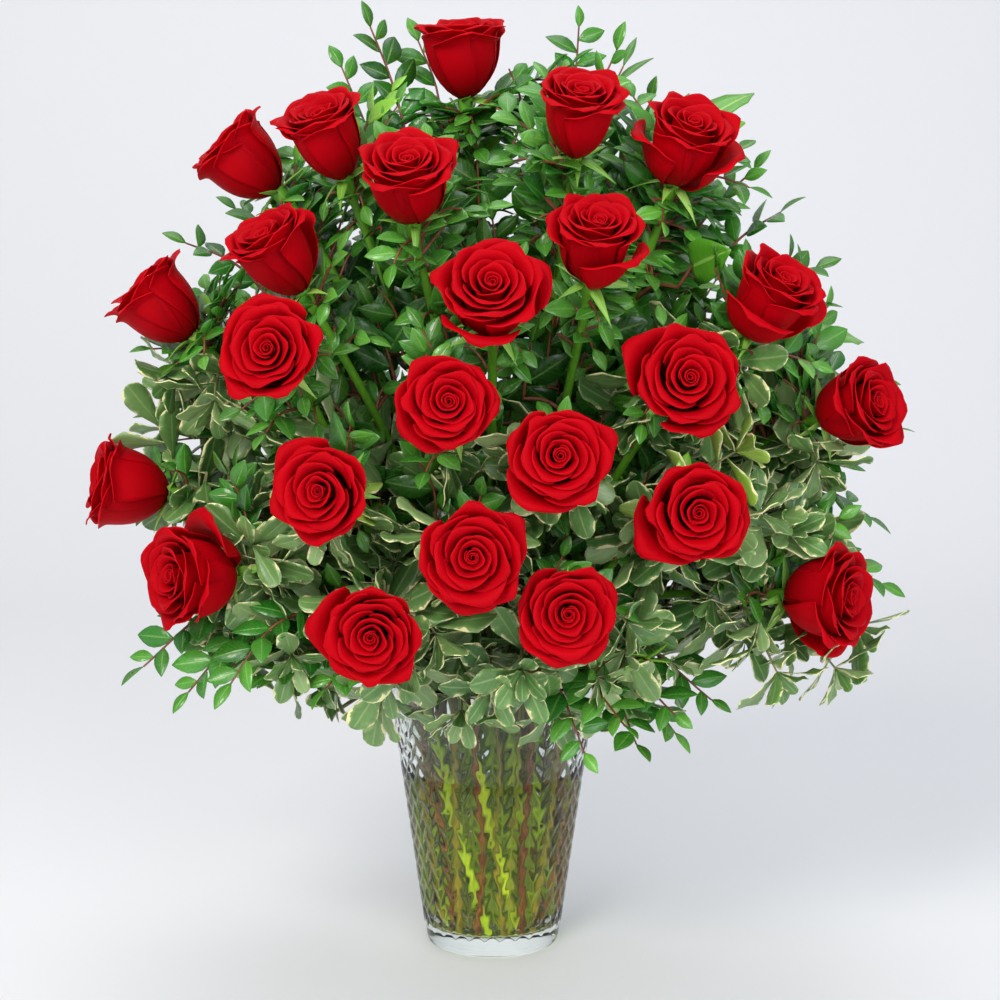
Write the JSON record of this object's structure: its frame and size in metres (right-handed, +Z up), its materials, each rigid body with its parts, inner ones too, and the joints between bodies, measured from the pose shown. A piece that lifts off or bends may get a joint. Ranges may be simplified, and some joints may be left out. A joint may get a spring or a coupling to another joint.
{
  "type": "vase of roses",
  "caption": "Tall fan-shaped bouquet of open red roses with mixed leafy greenery, standing in water in a tapered pressed-glass vase.",
  "frame": {"origin": "centre of the flat underside of the vase's foot", "axes": "+Z up through the vase and the bouquet, -Y towards the front where the blooms face, +X to the bouquet's right seen from the front"},
  "size_m": [0.5308, 0.3867, 0.6185],
  "materials": {
    "clear_glass": "clear pressed glass, fire-polished",
    "water": null,
    "rose_petals": "velvety red petals",
    "rose_stem": "fresh green stem, satin",
    "huckleberry_leaves": "glossy green leaves on brown twigs",
    "pittosporum_leaves": "grey-green leaves with cream margins",
    "salal_leaves": "broad bright leathery leaves"
  },
  "bodies": {
    "root": {"vase": "clear_glass", "water": "water", "rose_bloom_01": "rose_petals", "rose_bloom_02": "rose_petals", "rose_bloom_03": "rose_petals", "rose_bloom_04": "rose_petals", "rose_bloom_05": "rose_petals", "rose_bloom_06": "rose_petals", "rose_bloom_07": "rose_petals", "rose_bloom_08": "rose_petals", "rose_bloom_09": "rose_petals", "rose_bloom_10": "rose_petals", "rose_bloom_11": "rose_petals", "rose_bloom_12": "rose_petals", "rose_bloom_13": "rose_petals", "rose_bloom_14": "rose_petals", "rose_bloom_15": "rose_petals", "rose_bloom_16": "rose_petals", "rose_bloom_17": "rose_petals", "rose_bloom_18": "rose_petals", "rose_bloom_19": "rose_petals", "rose_bloom_20": "rose_petals", "rose_bloom_21": "rose_petals", "rose_bloom_22": "rose_petals", "rose_bloom_23": "rose_petals", "rose_bloom_24": "rose_petals", "rose_stem_01": "rose_stem", "rose_stem_02": "rose_stem", "rose_stem_03": "rose_stem", "rose_stem_04": "rose_stem", "rose_stem_05": "rose_stem", "rose_stem_06": "rose_stem", "rose_stem_07": "rose_stem", "rose_stem_08": "rose_stem", "rose_stem_09": "rose_stem", "rose_stem_10": "rose_stem", "rose_stem_11": "rose_stem", "rose_stem_12": "rose_stem", "rose_stem_13": "rose_stem", "rose_stem_14": "rose_stem", "rose_stem_15": "rose_stem", "rose_stem_16": "rose_stem", "rose_stem_17": "rose_stem", "rose_stem_18": "rose_stem", "rose_stem_19": "rose_stem", "rose_stem_20": "rose_stem", "rose_stem_21": "rose_stem", "rose_stem_22": "rose_stem", "rose_stem_23": "rose_stem", "rose_stem_24": "rose_stem", "huckleberry_branch_1": "huckleberry_leaves", "huckleberry_branch_2": "huckleberry_leaves", "huckleberry_branch_3": "huckleberry_leaves", "huckleberry_branch_4": "huckleberry_leaves", "huckleberry_branch_5": "huckleberry_leaves", "pittosporum_branch_1": "pittosporum_leaves", "pittosporum_branch_2": "pittosporum_leaves", "pittosporum_branch_3": "pittosporum_leaves", "pittosporum_branch_4": "pittosporum_leaves", "salal_branch_1": "salal_leaves"}
  },
  "joints": []
}
